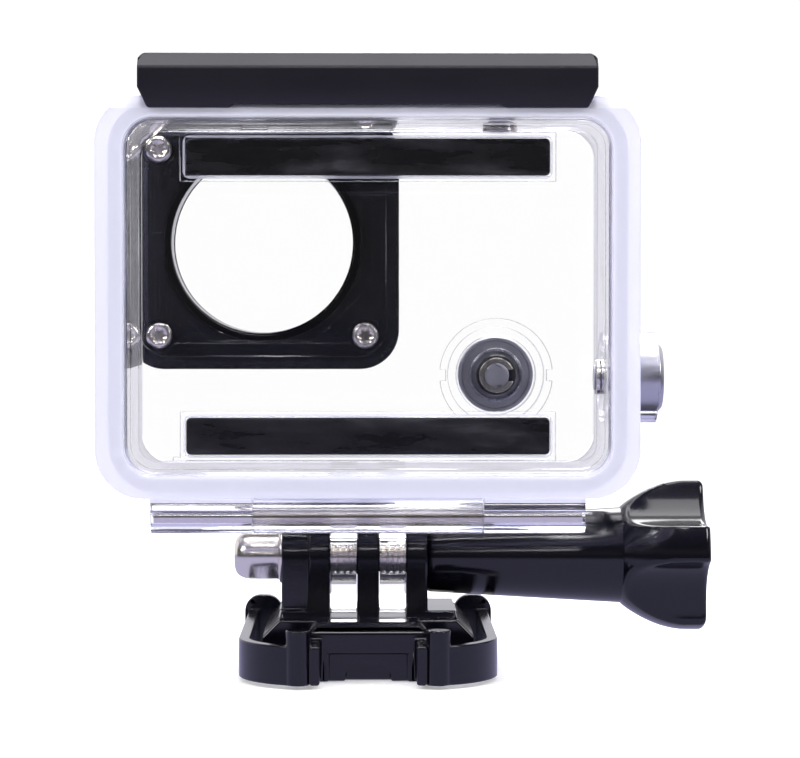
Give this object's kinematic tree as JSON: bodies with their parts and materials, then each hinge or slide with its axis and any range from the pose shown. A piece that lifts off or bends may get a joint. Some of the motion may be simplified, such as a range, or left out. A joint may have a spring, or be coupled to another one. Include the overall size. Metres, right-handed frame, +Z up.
{
  "type": "waterproof camera housing on a quick-release buckle",
  "caption": "Clear waterproof housing for an action camera with a hinged back door, top latch, sprung buttons and a tilting thumbscrew mount on a squeeze-arm buckle.",
  "frame": {"origin": "centre of the buckle's sole, on the ground under the tilt axis", "axes": "+X along the tilt axis to the thumbscrew's knob, +Y out of the lens window, -Y out of the back door, +Z up"},
  "size_m": [0.0772, 0.0436, 0.0783],
  "materials": {
    "clear_shell": "clear moulded polycarbonate, polished",
    "clear_door": "clear moulded polycarbonate, polished",
    "clear_window": "flat polished window",
    "white_silicone": "soft matte silicone",
    "black_foam": "closed-cell foam with a skin",
    "bezel_black": "gloss black moulded",
    "latch_black": "satin black moulded",
    "lock_grey": "satin dark grey moulded",
    "button_metal": "dark anodised turned",
    "bright_steel": "turned stainless",
    "spring_steel": "drawn wire",
    "black_rubber": "moulded O-ring rubber",
    "buckle_black": "gloss black moulded"
  },
  "bodies": {
    "buckle": {"buckle_base": "buckle_black", "acorn_nut": "bright_steel"},
    "left_arm": {"left_clip_arm": "buckle_black"},
    "right_arm": {"right_clip_arm": "buckle_black"},
    "housing": {"front_shell": "clear_shell", "lens_bezel": "bezel_black", "lens_window": "clear_window", "lens_gasket": "black_rubber", "bezel_screw_1": "bright_steel", "bezel_screw_2": "bright_steel", "bezel_screw_3": "bright_steel", "bezel_screw_4": "bright_steel", "door_hinge_pin": "bright_steel", "latch_pin": "bright_steel", "front_seal": "black_rubber", "shutter_seal": "black_rubber", "side_seal": "black_rubber", "front_spring": "spring_steel", "shutter_spring": "spring_steel", "side_spring": "spring_steel"},
    "door": {"back_door": "clear_door", "door_gasket": "white_silicone", "upper_pad": "black_foam", "lower_pad": "black_foam"},
    "latch": {"latch_arm": "latch_black", "latch_bar": "latch_black", "lock_spring": "spring_steel"},
    "lock": {"lock_slider": "lock_grey"},
    "front_plunger": {"front_button": "button_metal", "front_clip": "bright_steel"},
    "shutter_plunger": {"shutter_button": "button_metal", "shutter_clip": "bright_steel"},
    "side_plunger": {"side_button": "button_metal", "side_clip": "bright_steel"},
    "thumbscrew": {"thumbscrew_bolt": "bright_steel", "thumbscrew_knob": "buckle_black"}
  },
  "joints": [
    {"name": "housing_tilt", "type": "hinge", "parent": "buckle", "child": "housing", "pos_m": [0, 0, 0.01475], "axis": [1, 0, 0], "range_deg": [-65, 30]},
    {"name": "door_swing", "type": "hinge", "parent": "housing", "child": "door", "pos_m": [0, -0.0175, 0.0212], "axis": [1, 0, 0], "range_deg": [0, 90]},
    {"name": "latch_swing", "type": "hinge", "parent": "housing", "child": "latch", "pos_m": [0, 0.0035, 0.0759], "axis": [1, 0, 0], "range_deg": [-180, 0]},
    {"name": "lock_slide", "type": "slide", "parent": "latch", "child": "lock", "axis": [1, 0, 0], "range_m": [0, 0.002], "stiffness_N_per_m": 250, "springref_m": -0.0008, "deforming": ["lock_spring"]},
    {"name": "front_press", "type": "slide", "parent": "housing", "child": "front_plunger", "axis": [0, -1, 0], "range_m": [0, 0.0012], "stiffness_N_per_m": 700, "springref_m": -0.001, "deforming": ["front_spring"]},
    {"name": "shutter_press", "type": "slide", "parent": "housing", "child": "shutter_plunger", "axis": [0, 0, -1], "range_m": [0, 0.0012], "stiffness_N_per_m": 700, "springref_m": -0.001, "deforming": ["shutter_spring"]},
    {"name": "side_press", "type": "slide", "parent": "housing", "child": "side_plunger", "axis": [-1, 0, 0], "range_m": [0, 0.0012], "stiffness_N_per_m": 700, "springref_m": -0.001, "deforming": ["side_spring"]},
    {"name": "left_squeeze", "type": "hinge", "parent": "buckle", "child": "left_arm", "pos_m": [-0.0087, -0.0186, 0.0028], "axis": [0, 0, 1], "range_deg": [-3, 0], "stiffness_Nm_per_rad": 0.3},
    {"name": "right_squeeze", "type": "hinge", "parent": "buckle", "child": "right_arm", "pos_m": [0.0087, -0.0186, 0.0028], "axis": [0, 0, 1], "range_deg": [0, 3], "stiffness_Nm_per_rad": 0.3},
    {"name": "thumbscrew_turn", "type": "hinge", "parent": "buckle", "child": "thumbscrew", "pos_m": [0, 0, 0.01475], "axis": [1, 0, 0], "continuous": true}
  ],
  "couplings": [
    {"joint": "latch_swing", "follows": "door_swing", "ratio": -2}
  ]
}
